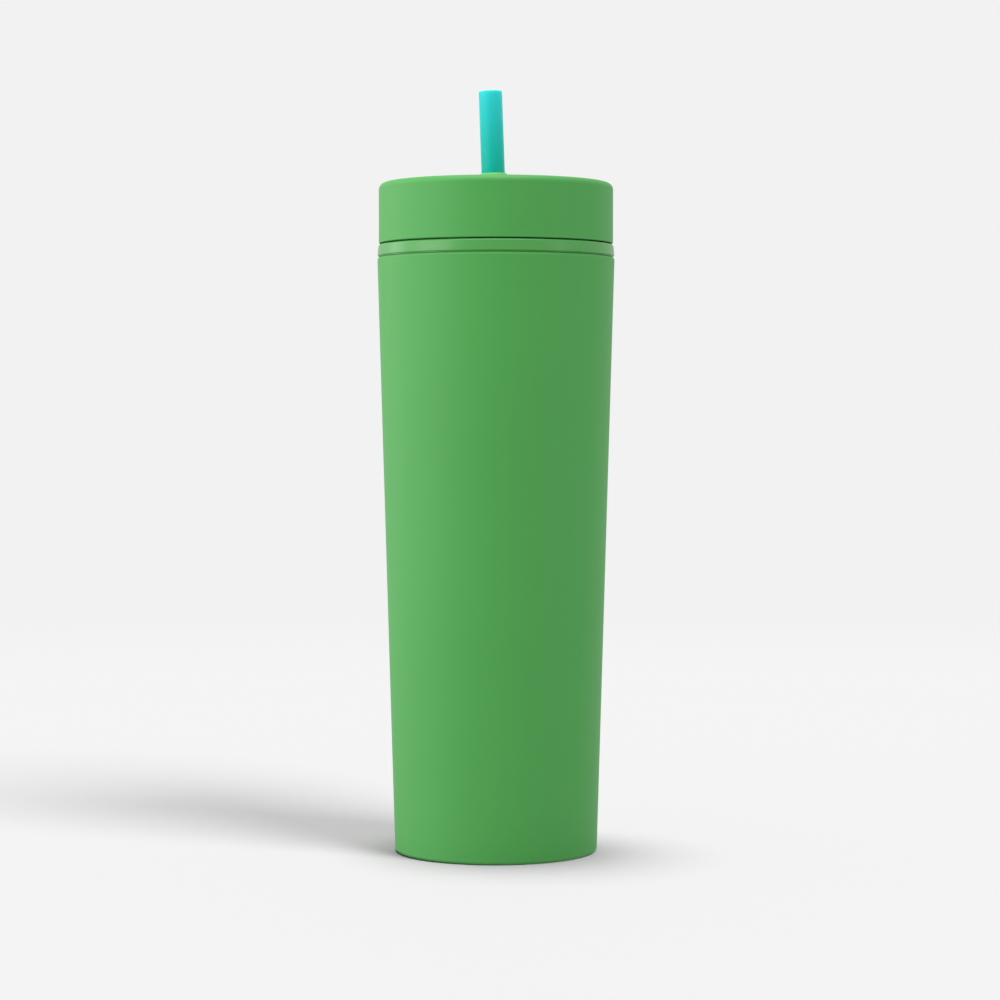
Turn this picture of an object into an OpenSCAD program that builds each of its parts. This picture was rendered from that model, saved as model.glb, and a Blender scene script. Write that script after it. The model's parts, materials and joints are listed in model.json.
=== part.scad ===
// Slim double-wall tumbler with a screw lid and a leaning straw.
// Origin: centre of the foot, on the surface that the tumbler stands on. +Z is up.

/* [Cup] */
// Height of the closed tumbler, from the foot to the lid's top face
overall_h = 200; // [180:1:220]
// Outside diameter of the cup at its foot
foot_d = 60.6; // [58:0.1:64]
// Outside diameter of the cup at its shoulder
shoulder_d = 70.9; // [70.4:0.1:73]
// Diameter of the lid
lid_d = 70; // [69:0.1:70.2]
// Diameter of the band below the lid at its top, from where it widens to the shoulder
band_d = 70.2; // [69.6:0.1:70.4]
// Height of that band
band_h = 3.4; // [3:0.1:6]
// Wall of the outer shell and of the lid cap
shell_wall = 1.6; // [1.2:0.1:1.8]
// Wall of the inner liner
liner_wall = 1.4; // [1.2:0.1:1.8]
// Radius of the outer edge of the foot
foot_edge_r = 1.2; // [0.8:0.1:2.5]
// Inside radius where the liner's wall meets its floor
floor_corner_r = 6; // [3:0.5:10]

/* [Lid] */
// Height of the lid cap
lid_h = 18; // [18:0.5:24]
// Radius of the lid's top edge
lid_edge_r = 2; // [0.5:0.1:2.2]
// Height that the lid climbs in one turn
thread_lead = 8; // [8:0.1:8.4]
// Height of the thread ridges above their wall
thread_depth = 1; // [0.8:0.1:1.2]

/* [Straw] */
// Outside diameter of the straw
straw_d = 7; // [6:0.1:7.2]
// Wall of the straw
straw_wall = 0.8; // [0.5:0.1:1]
// Length of the straw
straw_l = 219.5; // [205:0.5:221]
// Height of the straw's tip above the lid's top face
straw_show = 27.5; // [27:0.5:40]
// Lean of the straw from upright, in degrees
straw_lean = 2; // [0:0.1:2.5]

/* [Hidden] */
$fn = 96;

// Gaps between pieces
part_gap = 0.1;      // pieces that are welded or snapped together
turn_gap = 0.3;      // lid turning on the neck
seal_gap = 0.05;     // seal against the rim and the lid
straw_gap = 0.07;    // straw sliding in its grommet

// Heights, worked down from the lid's top face
lid_z = overall_h - lid_h;
lid_gap = 0.35;
band_top = lid_z - lid_gap;
band_z = band_top - band_h;
groove_h = 0.25;
shell_top = band_z - groove_h;
lid_air = 1.4;
disc_t = 1.4;
cap_under = overall_h - shell_wall;
disc_top = cap_under - lid_air;
disc_z = disc_top - disc_t;
gasket_h = 1.6;
rim_z = disc_z - gasket_h - seal_gap;

// Radii, worked in from the lid's outside
lid_r = lid_d / 2;
band_r = band_d / 2;
cap_in_r = lid_r - shell_wall;
sleeve_r = cap_in_r - 2 * part_gap;
sleeve_wall = 1.2;
sleeve_in_r = sleeve_r - sleeve_wall;
neck_r = sleeve_in_r - turn_gap - thread_depth;
mouth_r = neck_r - liner_wall;

// Outer shell and its base cap
foot_r = foot_d / 2;
shoulder_r = shoulder_d / 2;
shoulder_edge_r = 1;
foot_inner_r = foot_r - 5.7;
foot_ledge_r = foot_inner_r - 2.1;
foot_ledge_z = 1.4;
foot_top = 2.8;
shell_corner_r = 2;
cap_recess = 0.4;

// Inner liner
liner_z = 5.2;
floor_z = liner_z + 1.6;
liner_gap = 1.5;
floor_r = foot_r - shell_wall - liner_gap - liner_wall;
flange_z = band_top - 1.6;
spigot_z = band_z - 4.6;
spigot_r = shoulder_r - shell_wall - 0.25;
spigot_in_r = spigot_r - 1.4;
seat_r = shoulder_r - 1.05;
band_edge_r = 0.6;
band_foot_r = shoulder_r - 0.05;
rim_edge_r = 0.5;

// Two-start thread, in short runs with vent gaps between them
starts = 2;
thread_pitch = thread_lead / starts;
run_step = 60;
run_angle = 50;
crest_half = 0.6;
root_half = 1.1;
bite = 0.2;
neck_thread_z = band_top + 3.2;
neck_runs = 6;
sleeve_runs = 5;

// Lid
hole_r = 5;
lip_r = mouth_r - 1.1;
lip_wall = 1.2;
lip_z = disc_z - 1.3;
rib_r = 28.7;
cap_corner_r = 0.8;

// Straw, placed along its own leaning axis from where that crosses the lid's top face
straw_x = -0.72;
straw_r = straw_d / 2;
straw_edge_r = 0.3;
straw_tip = straw_show / cos(straw_lean);
straw_foot = straw_tip - straw_l;
stop_s = straw_foot + 7;
stop_h = 3;
stop_r = straw_r + 1.2;
grommet_r = 6.4;
collar_h = 3;

// Points of an arc in a profile, from angle a0 to angle a1
function arc(x, z, r, a0, a1, steps = 6) =
    [for (i = [0 : steps]) let (a = a0 + (a1 - a0) * i / steps) [x + r * cos(a), z + r * sin(a)]];

// Radius of a straight taper from r0 at z0 to r1 at z1
function taper(r0, z0, r1, z1, z) = r0 + (r1 - r0) * (z - z0) / (z1 - z0);

// Outside radius of the shell at height z
function shell_r(z) = taper(foot_r, 0, shoulder_r, shell_top, z);

// Inside radius of the liner at height z, straight above the band
function liner_r(z) = z > band_z ? mouth_r : taper(floor_r, floor_z, mouth_r, band_z, z);

// One start's worth of thread runs on a helix that climbs anticlockwise.
// first is the step at which the runs begin and z0 the helix's height at angle 0.
module thread_runs(wall_r, crest_r, z0, first, runs) {
    slope = atan(thread_lead / (PI * (wall_r + crest_r)));
    root_r = wall_r + sign(wall_r - crest_r) * bite;
    for (i = [first : first + runs - 1])
        rotate([0, 0, i * run_step])
            translate([0, 0, z0 + thread_lead * i * run_step / 360])
                rotate([slope, 0, 0])
                    rotate([0, 0, -run_angle / 2])
                        rotate_extrude(angle = run_angle)
                            polygon([
                                [root_r, -root_half], [root_r, root_half],
                                [crest_r, crest_half], [crest_r, -crest_half]
                            ]);
}

module all_starts() {
    for (s = [0 : starts - 1]) rotate([0, 0, s * 360 / starts]) children();
}

// Puts its children on the straw's axis, with z measured along the straw
module along_straw() {
    translate([straw_x, 0, overall_h]) rotate([0, -straw_lean, 0]) children();
}

// Tapered outer wall with an inward foot that holds the base cap
module outer_shell() {
    color("mediumseagreen")
        rotate_extrude()
            polygon(concat(
                [[foot_inner_r, 0]],
                arc(foot_r - foot_edge_r, foot_edge_r, foot_edge_r, -90, 0),
                arc(shoulder_r - shoulder_edge_r, shell_top - shoulder_edge_r, shoulder_edge_r, 0, 90),
                [[shell_r(shell_top) - shell_wall, shell_top]],
                arc(shell_r(foot_top) - shell_wall - shell_corner_r, foot_top + shell_corner_r,
                    shell_corner_r, 0, -90),
                [[foot_ledge_r, foot_top], [foot_ledge_r, foot_ledge_z], [foot_inner_r, foot_ledge_z]]
            ));
}

// Disc that closes the foot, set up into a step in the shell
module base_cap() {
    plug_r = foot_ledge_r - part_gap;
    color("seagreen")
        rotate_extrude()
            polygon([
                [0, cap_recess], [foot_inner_r - 2 * part_gap, cap_recess],
                [foot_inner_r - part_gap, cap_recess + part_gap], [foot_inner_r - part_gap, foot_ledge_z],
                [plug_r, foot_ledge_z], [plug_r, foot_top],
                [plug_r - shell_wall, foot_top], [plug_r - shell_wall, cap_recess + shell_wall],
                [0, cap_recess + shell_wall]
            ]);
}

// Inner cup, with the band that shows below the lid and the threaded neck
module inner_liner() {
    outer_corner_r = floor_corner_r + liner_wall;
    color("darkseagreen") {
        rotate_extrude()
            polygon(concat(
                [[0, liner_z]],
                arc(liner_r(floor_z) + liner_wall - outer_corner_r, liner_z + outer_corner_r,
                    outer_corner_r, -90, 0),
                [
                    [liner_r(band_z) + liner_wall, flange_z], [spigot_in_r, flange_z],
                    [spigot_in_r, spigot_z], [spigot_r, spigot_z], [spigot_r, shell_top],
                    [seat_r, shell_top], [seat_r, band_z]
                ],
                arc(band_foot_r - groove_h, band_z + groove_h, groove_h, -90, 0, 3),
                arc(band_r - band_edge_r, band_top - band_edge_r, band_edge_r, 0, 90),
                [[neck_r, band_top]],
                arc(neck_r - rim_edge_r, rim_z - rim_edge_r, rim_edge_r, 0, 90, 4),
                arc(mouth_r + rim_edge_r, rim_z - rim_edge_r, rim_edge_r, 90, 180, 4),
                [[mouth_r, band_z]],
                arc(liner_r(floor_z) - floor_corner_r, floor_z + floor_corner_r,
                    floor_corner_r, 0, -90),
                [[0, floor_z]]
            ));
        all_starts() thread_runs(neck_r, neck_r + thread_depth, neck_thread_z, 0, neck_runs);
    }
}

// Outer cover of the lid
module lid_cap() {
    foot_edge = 0.4;
    color("mediumseagreen")
        rotate_extrude()
            polygon(concat(
                [[cap_in_r, lid_z]],
                arc(lid_r - foot_edge, lid_z + foot_edge, foot_edge, -90, 0, 3),
                arc(lid_r - lid_edge_r, overall_h - lid_edge_r, lid_edge_r, 0, 90),
                [[hole_r, overall_h], [hole_r, cap_under]],
                arc(cap_in_r - cap_corner_r, cap_under - cap_corner_r, cap_corner_r, 90, 0, 3)
            ));
}

// Inner part of the lid: a disc with the threaded sleeve, welded up into the cap
module lid_insert() {
    foot_z = lid_z + turn_gap;
    foot_t = 1.2;
    lead_in = 0.3;
    corner = 0.6;
    color("palegreen") {
        rotate_extrude()
            polygon([
                [sleeve_in_r + lead_in, foot_z], [cap_in_r - part_gap / 2, foot_z],
                [cap_in_r - part_gap / 2, foot_z + foot_t], [sleeve_r, foot_z + foot_t],
                [sleeve_r, disc_top - corner], [sleeve_r - corner, disc_top],
                [rib_r, disc_top], [rib_r, cap_under],
                [rib_r - lip_wall, cap_under], [rib_r - lip_wall, disc_top],
                [hole_r, disc_top], [hole_r, disc_z],
                [lip_r - lip_wall, disc_z], [lip_r - lip_wall, lip_z],
                [lip_r, lip_z], [lip_r, disc_z],
                [sleeve_in_r, disc_z], [sleeve_in_r, foot_z + lead_in]
            ]);
        all_starts()
            thread_runs(sleeve_in_r, sleeve_in_r - thread_depth,
                        neck_thread_z - thread_pitch / 2, 1, sleeve_runs);
    }
}

// Seal ring in the channel under the disc, pressed on the rim by the closed lid
module lid_gasket() {
    in_r = lip_r + 1.5 * part_gap;
    out_r = sleeve_in_r - 1.5 * part_gap;
    z0 = rim_z + seal_gap;
    z1 = disc_z - seal_gap;
    edge = 0.3;
    color("white")
        rotate_extrude()
            polygon([
                [in_r + edge, z0], [out_r - edge, z0], [out_r, z0 + edge], [out_r, z1 - edge],
                [out_r - edge, z1], [in_r + edge, z1], [in_r, z1 - edge], [in_r, z0 + edge]
            ]);
}

// Soft sleeve snapped into the lid's hole, with a low collar that leans with the straw
module straw_grommet() {
    stem_r = hole_r - part_gap;
    stem_z = disc_z - 0.6;
    flange_t = 1.2;
    collar_foot_r = 5.2;
    collar_top_r = straw_r + 0.45;
    color("limegreen")
        difference() {
            union() {
                translate([0, 0, stem_z]) cylinder(h = overall_h + flange_t - stem_z, r = stem_r);
                translate([0, 0, disc_top + part_gap])
                    cylinder(h = lid_air - 2 * part_gap, r = grommet_r);
                translate([0, 0, overall_h]) cylinder(h = flange_t, r = grommet_r);
                along_straw()
                    translate([0, 0, flange_t / 2])
                        cylinder(h = collar_h - flange_t / 2, r1 = collar_foot_r, r2 = collar_top_r);
            }
            along_straw()
                translate([0, 0, -lid_h]) cylinder(h = 2 * lid_h, r = straw_r + straw_gap);
        }
}

// Rigid drinking straw
module straw() {
    bore_r = straw_r - straw_wall;
    color("turquoise")
        along_straw()
            rotate_extrude()
                polygon(concat(
                    arc(straw_r - straw_edge_r, straw_foot + straw_edge_r, straw_edge_r, -90, 0, 3),
                    arc(straw_r - straw_edge_r, straw_tip - straw_edge_r, straw_edge_r, 0, 90, 3),
                    [[bore_r, straw_tip], [bore_r, straw_foot]]
                ));
}

// Ring near the straw's foot that keeps the straw from being pulled out of the lid
module straw_stop() {
    edge = 0.6;
    in_r = straw_r + 0.02;
    color("darkturquoise")
        along_straw()
            rotate_extrude()
                polygon([
                    [in_r, stop_s], [stop_r - edge, stop_s], [stop_r, stop_s + edge],
                    [stop_r, stop_s + stop_h - edge], [stop_r - edge, stop_s + stop_h],
                    [in_r, stop_s + stop_h]
                ]);
}

outer_shell();
base_cap();
inner_liner();
lid_cap();
lid_insert();
lid_gasket();
straw_grommet();
straw();
straw_stop();
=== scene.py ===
import json
import math

import bpy
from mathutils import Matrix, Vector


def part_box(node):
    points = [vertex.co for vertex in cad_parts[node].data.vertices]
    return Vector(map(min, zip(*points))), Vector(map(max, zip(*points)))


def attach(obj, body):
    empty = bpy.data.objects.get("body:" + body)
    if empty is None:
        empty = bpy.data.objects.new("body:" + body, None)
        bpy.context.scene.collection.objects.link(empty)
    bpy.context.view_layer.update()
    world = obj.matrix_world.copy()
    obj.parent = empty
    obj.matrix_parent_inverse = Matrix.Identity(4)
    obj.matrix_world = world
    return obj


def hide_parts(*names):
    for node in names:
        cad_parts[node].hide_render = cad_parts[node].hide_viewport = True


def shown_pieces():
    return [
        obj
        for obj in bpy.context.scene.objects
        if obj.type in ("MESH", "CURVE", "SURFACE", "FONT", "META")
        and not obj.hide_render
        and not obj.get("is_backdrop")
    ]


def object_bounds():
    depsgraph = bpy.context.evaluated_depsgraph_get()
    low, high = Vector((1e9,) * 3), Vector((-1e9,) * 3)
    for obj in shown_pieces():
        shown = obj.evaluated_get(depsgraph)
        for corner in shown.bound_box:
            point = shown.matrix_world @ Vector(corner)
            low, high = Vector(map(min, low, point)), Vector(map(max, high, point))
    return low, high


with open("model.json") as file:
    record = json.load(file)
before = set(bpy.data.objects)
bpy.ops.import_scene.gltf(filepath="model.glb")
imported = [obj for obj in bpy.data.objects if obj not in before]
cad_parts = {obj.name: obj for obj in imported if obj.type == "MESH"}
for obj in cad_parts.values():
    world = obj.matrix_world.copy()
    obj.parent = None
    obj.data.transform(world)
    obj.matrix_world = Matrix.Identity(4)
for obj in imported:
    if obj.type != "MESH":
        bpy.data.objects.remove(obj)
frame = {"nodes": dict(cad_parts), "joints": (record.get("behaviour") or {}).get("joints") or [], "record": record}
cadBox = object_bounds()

# Lengths are in millimetres, and mm turns them into metres.
# A turned piece is drawn as a section: the corners (radius, height, rounding) round its closed outline.
mm = 0.001
near = 0.002        # points closer than this are the same point
smoothBelow = 32    # degrees: shallower edges are shaded smooth

# roundings that many pieces share
hairEdge = 0.15
smallEdge = 0.2
softEdge = 0.3

# how many steps there are in a full turn, and in a corner whose rounding is at least so large
wideSteps = 192
discSteps = 160
slimSteps = 96
pinSteps = 40
cornerSteps = ((1, 10), (0.4, 6), (0, 3))


def nodeBox(node):
    low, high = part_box(node)
    return low / mm, high / mm


shellLow, shellHigh = nodeBox("outer_shell")
discLow, discHigh = nodeBox("base_cap")
linerLow, linerHigh = nodeBox("inner_liner")
capLow, capHigh = nodeBox("lid_cap")
insertLow, insertHigh = nodeBox("lid_insert")
gasketLow, gasketHigh = nodeBox("lid_gasket")
grommetLow = nodeBox("straw_grommet")[0]
print("frame loaded:", len(frame["nodes"]), "nodes")


def makeActive(piece):
    if bpy.context.object and bpy.context.object.mode != "OBJECT":
        bpy.ops.object.mode_set(mode="OBJECT")
    bpy.ops.object.select_all(action="DESELECT")
    if piece:
        piece.select_set(True)
        bpy.context.view_layer.objects.active = piece


def selectPoints(piece, wanted):
    # leaves edit mode on, with the points that wanted() picks selected
    bpy.ops.object.mode_set(mode="EDIT")
    bpy.ops.mesh.select_mode(type="VERT")
    bpy.ops.mesh.select_all(action="DESELECT")
    bpy.ops.object.mode_set(mode="OBJECT")
    for point in piece.data.vertices:
        point.select = wanted(point.co / mm)
    bpy.ops.object.mode_set(mode="EDIT")


def drawSection(name, corners):
    # one loose point, pulled out corner by corner, then rounded at the corners that ask for it
    makeActive(None)
    bpy.ops.mesh.primitive_plane_add(size=mm)
    piece = bpy.context.object
    piece.name = name
    piece.data.name = name
    bpy.ops.object.mode_set(mode="EDIT")
    bpy.ops.mesh.merge(type="CENTER")
    bpy.ops.transform.translate(value=(corners[0][0] * mm, 0, corners[0][1] * mm))
    for here, there in zip(corners, corners[1:]):
        step = ((there[0] - here[0]) * mm, 0, (there[1] - here[1]) * mm)
        bpy.ops.mesh.extrude_region_move(TRANSFORM_OT_translate={"value": step})

    def at(point, corner):
        return math.hypot(point.x - corner[0], point.z - corner[1]) < near

    if corners[0][0] > 0:        # a section that starts on the axis stays open there
        selectPoints(piece, lambda point: at(point, corners[0]) or at(point, corners[-1]))
        bpy.ops.mesh.edge_face_add()
    for corner in corners:
        if corner[2]:
            steps = next(count for least, count in cornerSteps if corner[2] >= least)
            selectPoints(piece, lambda point: at(point, corner))
            bpy.ops.mesh.bevel(offset=corner[2] * mm, segments=steps, affect="VERTICES")
    bpy.ops.mesh.select_all(action="SELECT")
    return piece


def turned(name, corners, steps=wideSteps):
    piece = drawSection(name, corners)
    bpy.ops.mesh.spin(steps=steps, angle=2 * math.pi, center=(0, 0, 0), axis=(0, 0, 1))
    bpy.ops.mesh.select_all(action="SELECT")
    bpy.ops.mesh.remove_doubles(threshold=near * mm)
    bpy.ops.mesh.normals_make_consistent(inside=False)
    bpy.ops.object.mode_set(mode="OBJECT")
    return piece


def applyModifier(piece, kind, **settings):
    makeActive(piece)
    modifier = piece.modifiers.new(kind.lower(), kind)
    for key, value in settings.items():
        setattr(modifier, key, value)
    bpy.ops.object.modifier_apply(modifier=modifier.name)


def combine(piece, other, operation):
    applyModifier(piece, "BOOLEAN", operation=operation, solver="EXACT", object=other)
    bpy.data.objects.remove(other)


def place(piece, x=0, z=0, lean=0, turn=0):
    # moved and turned as an object, then applied, so that the place is in the mesh
    makeActive(piece)
    piece.location = (x * mm, 0, z * mm)
    piece.rotation_euler = (0, -lean, turn)
    bpy.ops.object.transform_apply(location=True, rotation=True, scale=True)
    return piece


def copies(piece, places):
    # one copy of piece at each of places, all joined
    made = []
    for spot in places:
        makeActive(piece)
        bpy.ops.object.duplicate(linked=False)
        made.append(place(bpy.context.object, **spot))
    bpy.data.objects.remove(piece)
    makeActive(made[0])
    for copy in made:
        copy.select_set(True)
    bpy.ops.object.join()
    return bpy.context.object


def finishPiece(piece, body, node, material):
    makeActive(piece)
    bpy.ops.object.shade_smooth_by_angle(angle=math.radians(smoothBelow))
    applyModifier(piece, "WEIGHTED_NORMAL", keep_sharp=True, weight=90)
    piece.data.materials.clear()
    piece.data.materials.append(material)
    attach(piece, body)
    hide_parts(node)
    print(piece.name, "made:", len(piece.data.polygons), "faces")


middle = 0.5        # a noise spreads evenly about this value


class Wire:
    # a socket that takes part in sums, so that shader maths reads as ordinary maths
    def __init__(self, tree, out=None):
        self.tree = tree
        self.out = out

    def node(self, kind, settings, inputs, output=0):
        made = self.tree.nodes.new(kind)
        for key, value in settings.items():
            setattr(made, key, value)
        for key, value in inputs.items():
            if isinstance(value, Wire):
                self.tree.links.new(value.out, made.inputs[key])
            else:
                made.inputs[key].default_value = value
        return Wire(self.tree, made.outputs[output])

    def maths(self, operation, first, second):
        return self.node("ShaderNodeMath", {"operation": operation}, {0: first, 1: second})

    def __add__(self, other):
        return self.maths("ADD", self, other)

    def __radd__(self, other):
        return self.maths("ADD", other, self)

    def __sub__(self, other):
        return self.maths("SUBTRACT", self, other)

    def __rsub__(self, other):
        return self.maths("SUBTRACT", other, self)

    def __mul__(self, other):
        return self.maths("MULTIPLY", self, other)

    def __rmul__(self, other):
        return self.maths("MULTIPLY", other, self)

    def noise(self, scale, detail):
        # a larger scale is a finer grain
        return self.node("ShaderNodeTexNoise", {}, {"Vector": self, "Scale": scale, "Detail": detail})

    def stretched(self, scale):
        return self.node("ShaderNodeMapping", {}, {"Vector": self, "Scale": scale})

    def height(self):
        return self.node("ShaderNodeSeparateXYZ", {}, {"Vector": self}, "Z")

    def step(self, low, high):
        # 0 below low, 1 above high, smooth between
        return self.node(
            "ShaderNodeMapRange", {"interpolation_type": "SMOOTHSTEP"},
            {"Value": self, "From Min": low, "From Max": high},
        )

    def between(self, first, second):
        # a colour between two, by this wire's value
        return self.node("ShaderNodeMix", {"data_type": "RGBA"}, {0: self, 6: first, 7: second}, 2)

    def bump(self, strength, depth):
        return self.node(
            "ShaderNodeBump", {}, {"Height": self, "Strength": strength, "Distance": depth * mm}
        )

    def feed(self, shader, socket):
        self.tree.links.new(self.out, shader.inputs[socket])


def newMaterial(name, constants):
    # the material, its shader, and its object coordinates as a wire
    material = bpy.data.materials.new(name)
    material.use_nodes = True
    shader = material.node_tree.nodes["Principled BSDF"]
    for socket, value in constants.items():
        shader.inputs[socket].default_value = value
    spot = Wire(material.node_tree).node("ShaderNodeTexCoord", {}, {}, "Object")
    return material, shader, spot


paintSkin = {
    "ior": 1.5, "sheenRoughness": 0.4, "clouds": (22, 3), "cloudLow": 0.3, "cloudHigh": 0.7,
    "speckle": (900, 2), "uneven": 0.06, "speckleShare": 0.6, "depth": 0.02,
}


def softTouchPaint(name, look):
    # matt rubbery paint: fine orange peel, faint clouds of tone, paler where the foot is rubbed
    skin = paintSkin
    material, shader, spot = newMaterial(name, {
        "IOR": skin["ior"], "Sheen Weight": look["sheen"], "Sheen Roughness": skin["sheenRoughness"],
        "Sheen Tint": look["rubbed"],
    })
    clouds = spot.noise(*skin["clouds"])
    grain = spot.noise(*look["grain"])
    speckle = spot.noise(*skin["speckle"])
    uneven = (clouds - middle) * skin["uneven"] + (speckle - middle) * skin["uneven"]
    rub = (1 - spot.height().step(look["rubFrom"] * mm, look["rubTo"] * mm)) * look["rub"]
    tone = clouds.step(skin["cloudLow"], skin["cloudHigh"]).between(look["deep"], look["colour"])
    (rub * speckle).between(tone, look["rubbed"]).feed(shader, "Base Color")
    (look["roughness"] + uneven).feed(shader, "Roughness")
    (grain + speckle * skin["speckleShare"]).bump(look["bump"], skin["depth"]).feed(shader, "Normal")
    return material


plasticSkin = {
    "ior": 1.5, "coatRoughness": 0.12, "flow": (60, 3), "flowStretch": (1, 1, 0.25), "uneven": 0.1,
    "grain": (2500, 2), "bump": 0.12, "depth": 0.01,
}


def mouldedPlastic(name, look):
    # bare moulded plastic: satin skin with faint flow marks up its height
    skin = plasticSkin
    material, shader, spot = newMaterial(name, {
        "IOR": skin["ior"], "Coat Weight": look["coat"], "Coat Roughness": skin["coatRoughness"],
    })
    flow = spot.stretched(skin["flowStretch"]).noise(*skin["flow"])
    flow.between(look["deep"], look["colour"]).feed(shader, "Base Color")
    (look["roughness"] + (flow - middle) * skin["uneven"]).feed(shader, "Roughness")
    spot.noise(*skin["grain"]).bump(skin["bump"], skin["depth"]).feed(shader, "Normal")
    return material


siliconeSkin = {
    "ior": 1.42, "milkyReach": 2, "bloom": (180, 4), "roughness": 0.38, "uneven": 0.2,
    "grain": (1800, 2), "grainShare": 0.4, "bump": 0.12, "depth": 0.02,
}


def softSilicone(name, look):
    # soft rubber with a dusty bloom
    skin = siliconeSkin
    material, shader, spot = newMaterial(name, {
        "IOR": skin["ior"], "Subsurface Weight": look["milky"], "Subsurface Scale": skin["milkyReach"] * mm,
    })
    bloom = spot.noise(*skin["bloom"])
    grain = spot.noise(*skin["grain"])
    bloom.between(look["colour"], look["dusty"]).feed(shader, "Base Color")
    (skin["roughness"] + bloom * skin["uneven"]).feed(shader, "Roughness")
    (bloom + grain * skin["grainShare"]).bump(skin["bump"], skin["depth"]).feed(shader, "Normal")
    return material


tubeSkin = {
    "ior": 1.5, "shine": 0.12, "milky": 0.7, "milkyTint": (1, 1, 1), "milkyReach": 4, "coat": 0.03,
    "coatRoughness": 0.15, "lines": (1400, 2), "lineStretch": (1, 1, 0.02), "uneven": 0.08,
    "bump": 0.1, "depth": 0.01,
}


def drawnTube(name, look):
    # satin tube: faint draw lines along it, and painted light: the colour is paler towards the tip, where light
    # comes in
    skin = tubeSkin
    material, shader, spot = newMaterial(name, {
        "IOR": skin["ior"], "Specular IOR Level": skin["shine"], "Subsurface Weight": skin["milky"],
        "Subsurface Radius": skin["milkyTint"], "Subsurface Scale": skin["milkyReach"] * mm,
        "Coat Weight": skin["coat"], "Coat Roughness": skin["coatRoughness"],
    })
    lines = spot.stretched(skin["lineStretch"]).noise(*skin["lines"])
    # painted light: the colour turns pale from the lid's top up to the tip
    glow = spot.height().step(look["glowFrom"] * mm, look["glowTo"] * mm)
    glow.between(look["colour"], look["pale"]).feed(shader, "Base Color")
    (look["roughness"] + (lines - middle) * skin["uneven"]).feed(shader, "Roughness")
    lines.bump(skin["bump"], skin["depth"]).feed(shader, "Normal")
    return material


shellPaint = softTouchPaint("shellPaint", {
    "colour": (0.040, 0.268, 0.042, 1), "deep": (0.038, 0.260, 0.040, 1), "rubbed": (0.20, 0.48, 0.19, 1),
    "roughness": 0.58, "sheen": 0.03, "grain": (2600, 2), "bump": 0.22,
    "rub": 0.3, "rubFrom": shellLow.z, "rubTo": shellLow.z + 2,
})
lidPaint = softTouchPaint("lidPaint", {
    "colour": (0.040, 0.268, 0.042, 1), "deep": (0.038, 0.260, 0.040, 1), "rubbed": (0.20, 0.48, 0.19, 1),
    "roughness": 0.58, "sheen": 0.03, "grain": (2600, 2), "bump": 0.22,
    "rub": 0.2, "rubFrom": capLow.z, "rubTo": capLow.z + 0.8,
})
linerPlastic = mouldedPlastic("linerPlastic", {
    "colour": (0.042, 0.258, 0.040, 1), "deep": (0.038, 0.244, 0.036, 1), "roughness": 0.40, "coat": 0.12,
})
insertPlastic = mouldedPlastic("insertPlastic", {
    "colour": (0.058, 0.340, 0.054, 1), "deep": (0.050, 0.315, 0.047, 1), "roughness": 0.32, "coat": 0.1,
})
milkySilicone = softSilicone("milkySilicone", {
    "colour": (0.70, 0.74, 0.70, 1), "dusty": (0.82, 0.84, 0.82, 1), "milky": 0.3,
})
greenSilicone = softSilicone("greenSilicone", {
    "colour": (0.090, 0.420, 0.085, 1), "dusty": (0.14, 0.50, 0.13, 1), "milky": 0.15,
})
# the pale colour is painted light towards the straw's tip
tealPlastic = drawnTube("tealPlastic", {
    "colour": (0.0, 0.40, 0.345, 1), "pale": (0.016, 0.495, 0.495, 1), "roughness": 0.38,
    "glowFrom": capHigh.z, "glowTo": cadBox[1].z / mm,
})
print("materials ready")

cup = {
    "footRadius": 30.3, "footEdge": 1.2, "shoulderEdge": 1, "wall": 1.6,
    "footInner": 24.6, "ledge": 22.5, "ledgeZ": 1.4, "footTop": 2.8, "insideCorner": 2,
}


def makeOuterWall():
    top = shellHigh.z
    lean = (shellHigh.x - cup["footRadius"]) / (top - cup["shoulderEdge"] - cup["footEdge"])
    insideFoot = cup["footRadius"] - cup["wall"] + lean * cup["footTop"]
    wall = turned("outerWall", [
        (cup["footInner"], shellLow.z, hairEdge),
        (cup["footRadius"], shellLow.z, cup["footEdge"]),
        (shellHigh.x, top, cup["shoulderEdge"]),
        (shellHigh.x - cup["wall"], top, hairEdge),
        (insideFoot, cup["footTop"], cup["insideCorner"]),
        (cup["ledge"], cup["footTop"], hairEdge),
        (cup["ledge"], cup["ledgeZ"], hairEdge),
        (cup["footInner"], cup["ledgeZ"], 0),
    ])
    finishPiece(wall, "cup", "outer_shell", shellPaint)


baseDisc = {
    "plug": 22.4, "floor": 1.6, "dishRadius": 19.5, "dish": 0.35, "slope": 0.5,
    "gateRadius": 1.8, "gate": 0.2,
}


def makeBaseDisc():
    under = discLow.z
    dish = under + baseDisc["dish"]
    floor = under + baseDisc["floor"]
    hollow = baseDisc["plug"] - baseDisc["floor"]
    edge = smallEdge
    disc = turned("baseDisc", [
        (0, dish - baseDisc["gate"], 0),
        (baseDisc["gateRadius"], dish - baseDisc["gate"], edge / 2),
        (baseDisc["gateRadius"] + edge, dish, edge / 2),
        (baseDisc["dishRadius"], dish, edge),
        (baseDisc["dishRadius"] + baseDisc["slope"], under, edge),
        (discHigh.x, under, edge),
        (discHigh.x, cup["ledgeZ"], 0),
        (baseDisc["plug"], cup["ledgeZ"], 0),
        (baseDisc["plug"], discHigh.z, edge),
        (hollow, discHigh.z, edge),
        (hollow, floor, edge),
        (0, floor, 0),
    ], discSteps)
    finishPiece(disc, "cup", "base_cap", shellPaint)


# two-start screw thread, shared by the neck and the lid
thread = {
    "lead": 8, "starts": 2, "step": 60, "run": 50, "rings": 20, "fadeRings": 4,
    "rootHalf": 1.1, "crestHalf": 0.6, "edge": 0.2, "firstZ": 184.85, "bite": 0.2,
}


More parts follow.
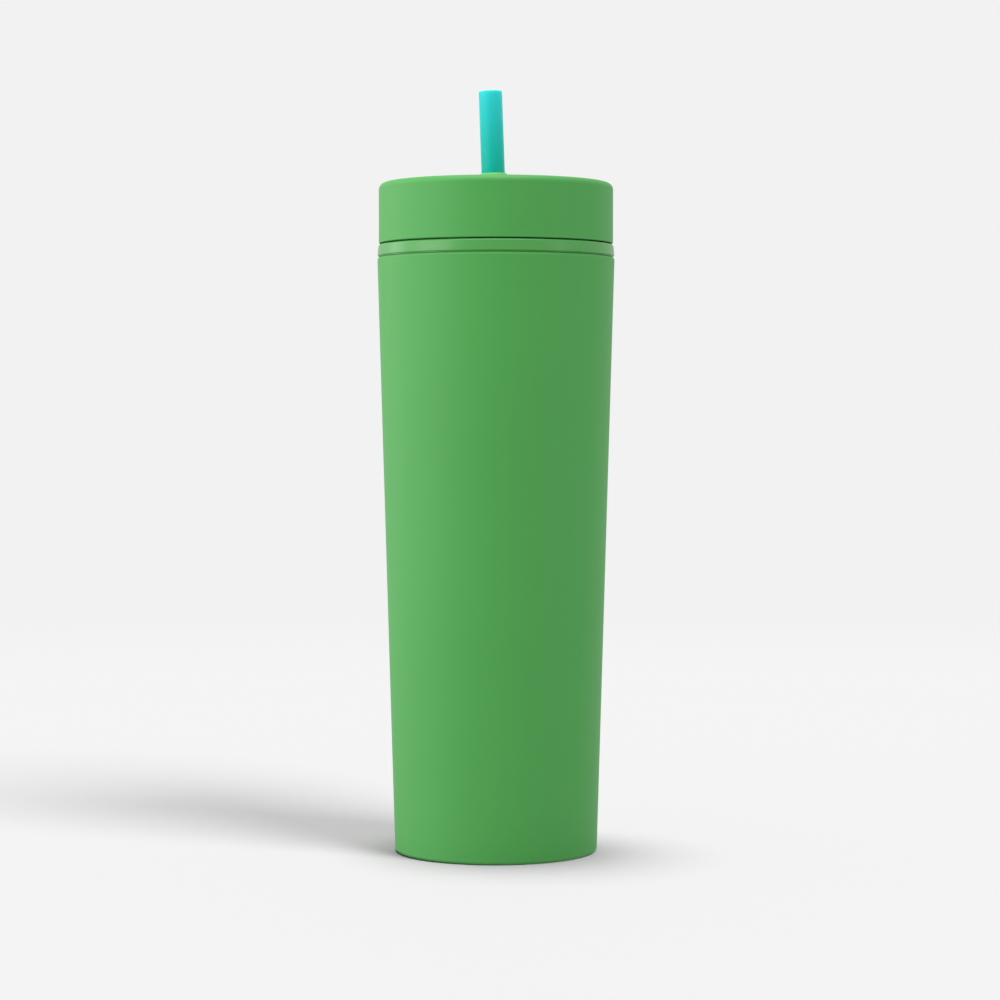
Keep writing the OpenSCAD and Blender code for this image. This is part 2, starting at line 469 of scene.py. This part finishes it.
def threadRidges(name, root, crest, sunk, firstZ, first, count):
    # one short ridge up the helix with ends sunk into the wall, then its copies for both starts
    ridge = drawSection(name, [
        (root, -thread["rootHalf"], 0),
        (crest, -thread["crestHalf"], thread["edge"]),
        (crest, thread["crestHalf"], thread["edge"]),
        (root, thread["rootHalf"], 0),
    ])
    run = math.radians(thread["run"])
    climb = thread["lead"] / 360
    applyModifier(
        ridge, "SCREW", angle=run, screw_offset=climb * thread["run"] * mm,
        steps=thread["rings"], render_steps=thread["rings"],
    )
    bpy.ops.object.mode_set(mode="EDIT")
    bpy.ops.mesh.select_all(action="SELECT")
    bpy.ops.mesh.fill_holes(sides=0)
    bpy.ops.mesh.select_all(action="SELECT")
    bpy.ops.mesh.normals_make_consistent(inside=False)
    ringStep = run / thread["rings"]
    for ring in range(thread["fadeRings"]):
        shrink = 1 + (sunk / crest - 1) * (1 - ring / thread["fadeRings"]) ** 2
        for azimuth in (ring * ringStep, run - ring * ringStep):
            selectPoints(
                ridge, lambda point: abs(math.atan2(point.y, point.x) - azimuth) < ringStep / 3
            )
            bpy.ops.transform.resize(value=(shrink, shrink, 1), center_override=(0, 0, 0))
    bpy.ops.object.mode_set(mode="OBJECT")
    places = []
    for start in range(thread["starts"]):
        for i in range(first, first + count):
            begin = i * thread["step"] - thread["run"] / 2
            places.append({
                "z": firstZ + climb * begin,
                "turn": math.radians(begin + start * 360 / thread["starts"]),
            })
    return copies(ridge, places)


liner = {
    "floor": 1.6, "floorRadius": 25.8, "floorCorner": 6, "wall": 1.4, "mouth": 29.3, "neck": 30.7,
    "band": 35.1, "bandZ": 178.25, "bandTop": 181.65, "bandFoot": 0.25, "bandEdge": 0.6, "flange": 1.6,
    "seat": 34.9, "spigot": 33.6, "spigotWall": 1.4, "spigotZ": 173.65, "rimEdge": 0.5, "neckCorner": 0.4,
    "ridge": 1, "sunk": 0.05, "runs": 6,
}


def makeInnerLiner():
    wall = liner["wall"]
    flangeZ = liner["bandTop"] - liner["flange"]
    floorZ = linerLow.z + liner["floor"]
    spigotInner = liner["spigot"] - liner["spigotWall"]
    body = turned("innerLiner", [
        (0, linerLow.z, 0),
        (liner["floorRadius"] + wall, linerLow.z, liner["floorCorner"] + wall),
        (liner["neck"], flangeZ, softEdge),
        (spigotInner, flangeZ, softEdge),
        (spigotInner, liner["spigotZ"], smallEdge),
        (liner["spigot"], liner["spigotZ"], softEdge),
        (liner["spigot"], shellHigh.z, hairEdge),
        (liner["seat"], shellHigh.z, 0),
        (liner["seat"], liner["bandZ"], 0),
        (linerHigh.x, liner["bandZ"], liner["bandFoot"]),
        (liner["band"], liner["bandTop"], liner["bandEdge"]),
        (liner["neck"], liner["bandTop"], liner["neckCorner"]),
        (liner["neck"], linerHigh.z, liner["rimEdge"]),
        (liner["mouth"], linerHigh.z, liner["rimEdge"]),
        (liner["mouth"], liner["bandZ"], 0),
        (liner["floorRadius"], floorZ, liner["floorCorner"]),
        (0, floorZ, 0),
    ])
    ridges = threadRidges(
        "neckRidge", liner["neck"] - thread["bite"], liner["neck"] + liner["ridge"],
        liner["neck"] - liner["sunk"], thread["firstZ"], 0, liner["runs"],
    )
    combine(body, ridges, "UNION")
    finishPiece(body, "cup", "inner_liner", linerPlastic)


lid = {
    "wall": 1.6, "edge": 2, "footEdge": 0.4, "corner": 0.8, "hole": 5,
}


def makeLidCap():
    under = capHigh.z - lid["wall"]
    inside = capHigh.x - lid["wall"]
    cap = turned("lidCap", [
        (inside, capLow.z, hairEdge),
        (capHigh.x, capLow.z, lid["footEdge"]),
        (capHigh.x, capHigh.z, lid["edge"]),
        (lid["hole"], capHigh.z, softEdge),
        (lid["hole"], under, hairEdge),
        (inside, under, lid["corner"]),
    ])
    finishPiece(cap, "lid", "lid_cap", lidPaint)


insert = {
    "sleeve": 33.2, "sleeveInner": 32, "leadIn": 0.3, "footFlange": 1.2, "discZ": 195.6, "discTop": 197,
    "corner": 0.6, "rib": 28.7, "ribWall": 1.2, "lip": 28.2, "lipWall": 1.2, "lipDepth": 1.3,
    "ridge": 1, "sunk": 0.05, "runs": 5, "pins": 6, "pinRadius": 2.2, "pinRing": 18, "pinDepth": 0.15,
}


def makeLidInsert():
    discZ = insert["discZ"]
    discTop = insert["discTop"]
    rib = insert["rib"]
    lipZ = discZ - insert["lipDepth"]
    flangeTop = insertLow.z + insert["footFlange"]
    body = turned("lidInsert", [
        (insert["sleeveInner"], insertLow.z, insert["leadIn"]),
        (insertHigh.x, insertLow.z, hairEdge),
        (insertHigh.x, flangeTop, hairEdge),
        (insert["sleeve"], flangeTop, hairEdge),
        (insert["sleeve"], discTop, insert["corner"]),
        (rib, discTop, softEdge),
        (rib, insertHigh.z, hairEdge),
        (rib - insert["ribWall"], insertHigh.z, hairEdge),
        (rib - insert["ribWall"], discTop, softEdge),
        (lid["hole"], discTop, smallEdge),
        (lid["hole"], discZ, smallEdge),
        (insert["lip"] - insert["lipWall"], discZ, softEdge),
        (insert["lip"] - insert["lipWall"], lipZ, softEdge),
        (insert["lip"], lipZ, softEdge),
        (insert["lip"], discZ, hairEdge),
        (insert["sleeveInner"], discZ, hairEdge),
    ])
    inner = insert["sleeveInner"]
    ridges = threadRidges(
        "sleeveRidge", inner + thread["bite"], inner - insert["ridge"], inner + insert["sunk"],
        thread["firstZ"] - thread["lead"] / thread["starts"] / 2, 1, insert["runs"],
    )
    combine(body, ridges, "UNION")
    # round marks that the ejector pins leave under the disc
    makeActive(None)
    bpy.ops.mesh.primitive_cylinder_add(
        vertices=pinSteps, radius=insert["pinRadius"] * mm, depth=2 * insert["pinDepth"] * mm,
        location=(insert["pinRing"] * mm, 0, 0),
    )
    pin = bpy.context.object
    bpy.ops.object.transform_apply(location=True)
    turns = [2 * math.pi * (i + 0.5) / insert["pins"] for i in range(insert["pins"])]
    combine(body, copies(pin, [{"z": discZ, "turn": turn} for turn in turns]), "DIFFERENCE")
    finishPiece(body, "lid", "lid_insert", insertPlastic)


seal = {
    "outer": 31.85, "inner": 28.35, "land": 0.8, "relief": 0.2, "beadIn": 0.4, "slope": 0.3,
    "landEdge": 0.1, "beadFoot": 0.05,
}


def makeSealRing():
    # flat land below for the rim, two beads above that press on the lid's disc
    low = gasketLow.z
    high = gasketHigh.z
    relief = low + seal["relief"]
    shoulder = high - seal["relief"]
    inner = seal["inner"]
    outer = seal["outer"]
    slope = seal["slope"]
    beadIn = seal["beadIn"]
    ring = turned("sealRing", [
        (inner, relief, hairEdge),
        (inner + seal["land"] - slope, relief, seal["landEdge"]),
        (inner + seal["land"], low, seal["landEdge"]),
        (outer - seal["land"], low, seal["landEdge"]),
        (outer - seal["land"] + slope, relief, seal["landEdge"]),
        (outer, relief, hairEdge),
        (outer, shoulder, hairEdge),
        (outer - beadIn, shoulder, seal["beadFoot"]),
        (outer - beadIn - slope, high, seal["landEdge"]),
        (outer - beadIn - 2 * slope, high, seal["landEdge"]),
        (outer - beadIn - 3 * slope, shoulder, seal["beadFoot"]),
        (inner + beadIn + 3 * slope, shoulder, seal["beadFoot"]),
        (inner + beadIn + 2 * slope, high, seal["landEdge"]),
        (inner + beadIn + slope, high, seal["landEdge"]),
        (inner + beadIn, shoulder, seal["beadFoot"]),
        (inner, shoulder, hairEdge),
    ])
    finishPiece(ring, "lid_seal", "lid_gasket", milkySilicone)


# the straw's own line: where it crosses the lid's top, how far it leans, and where its ends are along it
slide = next(joint for joint in frame["joints"] if joint["name"] == "straw_slide")
mouth = next(mount for mount in frame["record"]["mounts"] if mount["name"] == "straw_mouth")
strawLean = math.atan2(-slide["axis"][0], slide["axis"][2])
strawTip = (mouth["pos_m"][2] / mm - capHigh.z) / math.cos(strawLean)
strawFoot = strawTip - mouth["dims"]["length_mm"]
strawX = mouth["pos_m"][0] / mm + strawTip * math.sin(strawLean)
straw = {"radius": 3.5, "bore": mouth["dims"]["r_mm"], "outerEdge": softEdge, "boreEdge": hairEdge}


def alongStraw(piece):
    return place(piece, x=strawX, z=capHigh.z, lean=strawLean)


def makeStraw():
    tube = turned("drinkingStraw", [
        (straw["bore"], strawFoot, straw["boreEdge"]),
        (straw["radius"], strawFoot, straw["outerEdge"]),
        (straw["radius"], strawTip, straw["outerEdge"]),
        (straw["bore"], strawTip, straw["boreEdge"]),
    ], slimSteps)
    alongStraw(tube)
    finishPiece(tube, "straw", "straw", tealPlastic)


stop = {"up": 7, "height": 3, "inner": 3.52, "radius": 4.7, "edge": 0.5}


def makeStopRing():
    low = strawFoot + stop["up"]
    ring = turned("stopRing", [
        (stop["inner"], low, 0),
        (stop["radius"], low, stop["edge"]),
        (stop["radius"], low + stop["height"], stop["edge"]),
        (stop["inner"], low + stop["height"], 0),
    ], slimSteps)
    alongStraw(ring)
    finishPiece(ring, "straw", "straw_stop", tealPlastic)


grommet = {
    "stem": 4.9, "flange": 6.4, "flangeLow": 197.1, "flangeHigh": 198.3, "flangeThick": 1.2,
    "collarFoot": 5.2, "collarTop": 3.95, "collarFrom": 0.6, "collarHeight": 3, "collarEdge": 0.3,
    "bore": 3.57, "flare": 0.3, "boreLow": -5.1, "boreReach": 9,
}


def makeGrommet():
    stem = grommet["stem"]
    flange = grommet["flange"]
    edge = smallEdge
    top = capHigh.z + grommet["flangeThick"]
    sleeve = turned("strawGrommet", [
        (0, grommetLow.z, 0),
        (stem, grommetLow.z, edge),
        (stem, grommet["flangeLow"], 0),
        (flange, grommet["flangeLow"], edge),
        (flange, grommet["flangeHigh"], edge),
        (stem, grommet["flangeHigh"], 0),
        (stem, capHigh.z, 0),
        (flange, capHigh.z, edge),
        (flange, top, 2 * edge),
        (0, top, 0),
    ], slimSteps)
    collar = alongStraw(turned("collar", [
        (0, grommet["collarFrom"], 0),
        (grommet["collarFoot"], grommet["collarFrom"], 0),
        (grommet["collarTop"], grommet["collarHeight"], grommet["collarEdge"]),
        (0, grommet["collarHeight"], 0),
    ], slimSteps))
    combine(sleeve, collar, "UNION")
    bore = grommet["bore"]
    flare = grommet["flare"]
    high = grommet["collarHeight"]
    drill = alongStraw(turned("drill", [
        (0, -grommet["boreReach"], 0),
        (bore + flare, -grommet["boreReach"], 0),
        (bore + flare, grommet["boreLow"], 0),
        (bore, grommet["boreLow"] + flare, 0),
        (bore, high - flare / 2, 0),
        (bore + flare / 2, high, 0),
        (bore + flare / 2, grommet["boreReach"], 0),
        (0, grommet["boreReach"], 0),
    ], slimSteps))
    combine(sleeve, drill, "DIFFERENCE")
    finishPiece(sleeve, "lid", "straw_grommet", greenSilicone)


makeOuterWall()
makeBaseDisc()
makeInnerLiner()
makeLidCap()
makeLidInsert()
makeSealRing()
makeStraw()
makeStopRing()
makeGrommet()
print("pieces made")

studio = {
    "white": 0.888, "floorTone": 0.15, "floorRoughness": 0.9, "floorShine": 0.1, "floorSize": 8,
    "fadeFrom": 0.45, "fadeTo": 1.1, "centre": (0, 0, 0.11),
}


def whiteSurround():
    world = bpy.data.worlds.new("whiteSurround")
    bpy.context.scene.world = world
    world.use_nodes = True
    background = world.node_tree.nodes["Background"]
    background.inputs["Color"].default_value = (studio["white"],) * 3 + (1,)
    background.inputs["Strength"].default_value = 1
    bpy.context.scene.view_settings.view_transform = "Standard"


def makeFloor():
    # pale paper that becomes the white of the surround away from the object
    makeActive(None)
    bpy.ops.mesh.primitive_plane_add(size=studio["floorSize"])
    floor = bpy.context.object
    floor.name = "floor"
    material, shader, spot = newMaterial("floorPaper", {
        "Base Color": (studio["floorTone"],) * 3 + (1,), "Roughness": studio["floorRoughness"],
        "Specular IOR Level": studio["floorShine"],
    })
    away = spot.node("ShaderNodeVectorMath", {"operation": "LENGTH"}, {0: spot}, "Value")
    far = away.step(studio["fadeFrom"], studio["fadeTo"])
    glow = spot.node("ShaderNodeEmission", {}, {"Color": (studio["white"],) * 3 + (1,), "Strength": 1})
    paper = Wire(spot.tree, shader.outputs[0])
    surface = spot.node("ShaderNodeMixShader", {}, {0: far, 1: paper, 2: glow})
    surface.feed(material.node_tree.nodes["Material Output"], "Surface")
    floor.data.materials.append(material)
    floor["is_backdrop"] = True
    return floor


# azimuth is measured from the camera's side towards the right, in degrees
lights = [
    {"name": "keyLight", "kind": "AREA", "azimuth": -64, "height": 20, "away": 0.9, "size": (0.6, 0.9),
     "power": 4.8, "on": "object"},
    {"name": "rimLight", "kind": "AREA", "azimuth": -112, "height": 12, "away": 0.9, "size": (0.3, 0.8),
     "power": 2.2, "on": "cup and lid"},
    {"name": "edgeLight", "kind": "AREA", "azimuth": 64, "height": 6, "away": 0.9, "size": (0.16, 0.7),
     "power": 0.6, "on": "object"},
    {"name": "topLight", "kind": "AREA", "azimuth": -10, "height": 84, "away": 0.8, "size": (0.6, 0.6),
     "power": 5, "on": "object"},
    {"name": "shadowLight", "kind": "SUN", "azimuth": 45, "height": 45, "away": 2, "size": 28,
     "power": 9.65, "on": "floor"},
    {"name": "contactLight", "kind": "SUN", "azimuth": -135, "height": 85.5, "away": 2, "size": 14,
     "power": 6.3, "on": "floor"},
    {"name": "overheadLight", "kind": "SUN", "azimuth": 0, "height": 90, "away": 2, "size": 10,
     "power": 2.6, "on": "floor"},
]


def makeLights(floor):
    # each light falls on one group only, while everything casts its shadow
    groups = {name: bpy.data.collections.new(name) for name in ("floor", "object", "cup and lid")}
    groups["floor"].objects.link(floor)
    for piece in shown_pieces():
        groups["object"].objects.link(piece)
        if piece.name not in ("drinkingStraw", "stopRing"):
            groups["cup and lid"].objects.link(piece)
    for light in lights:
        azimuth = math.radians(light["azimuth"])
        height = math.radians(light["height"])
        outward = (
            math.sin(azimuth) * math.cos(height), -math.cos(azimuth) * math.cos(height), math.sin(height)
        )
        lamp = bpy.data.lights.new(light["name"], light["kind"])
        lamp.energy = light["power"]
        if light["kind"] == "SUN":
            lamp.angle = math.radians(light["size"])
        else:
            lamp.shape = "RECTANGLE"
            lamp.size, lamp.size_y = light["size"]
        stand = bpy.data.objects.new(light["name"], lamp)
        bpy.context.scene.collection.objects.link(stand)
        stand.location = [c + light["away"] * o for c, o in zip(studio["centre"], outward)]
        stand.rotation_euler = (math.pi / 2 - height, 0, azimuth)
        stand.light_linking.receiver_collection = groups[light["on"]]
        stand.visible_camera = False


camera = {"lens": 103.4, "away": 861, "aside": 1.21, "height": 131.6, "tilt": -1.745, "nearest": 10}


def makeCamera():
    body = bpy.data.cameras.new("camera")
    body.lens = camera["lens"]
    body.clip_start = camera["nearest"] * mm
    holder = bpy.data.objects.new("camera", body)
    bpy.context.scene.collection.objects.link(holder)
    holder.location = (camera["aside"] * mm, -camera["away"] * mm, camera["height"] * mm)
    holder.rotation_euler = (math.radians(90 + camera["tilt"]), 0, 0)
    bpy.context.scene.camera = holder


whiteSurround()
makeLights(makeFloor())
makeCamera()
print("studio ready")
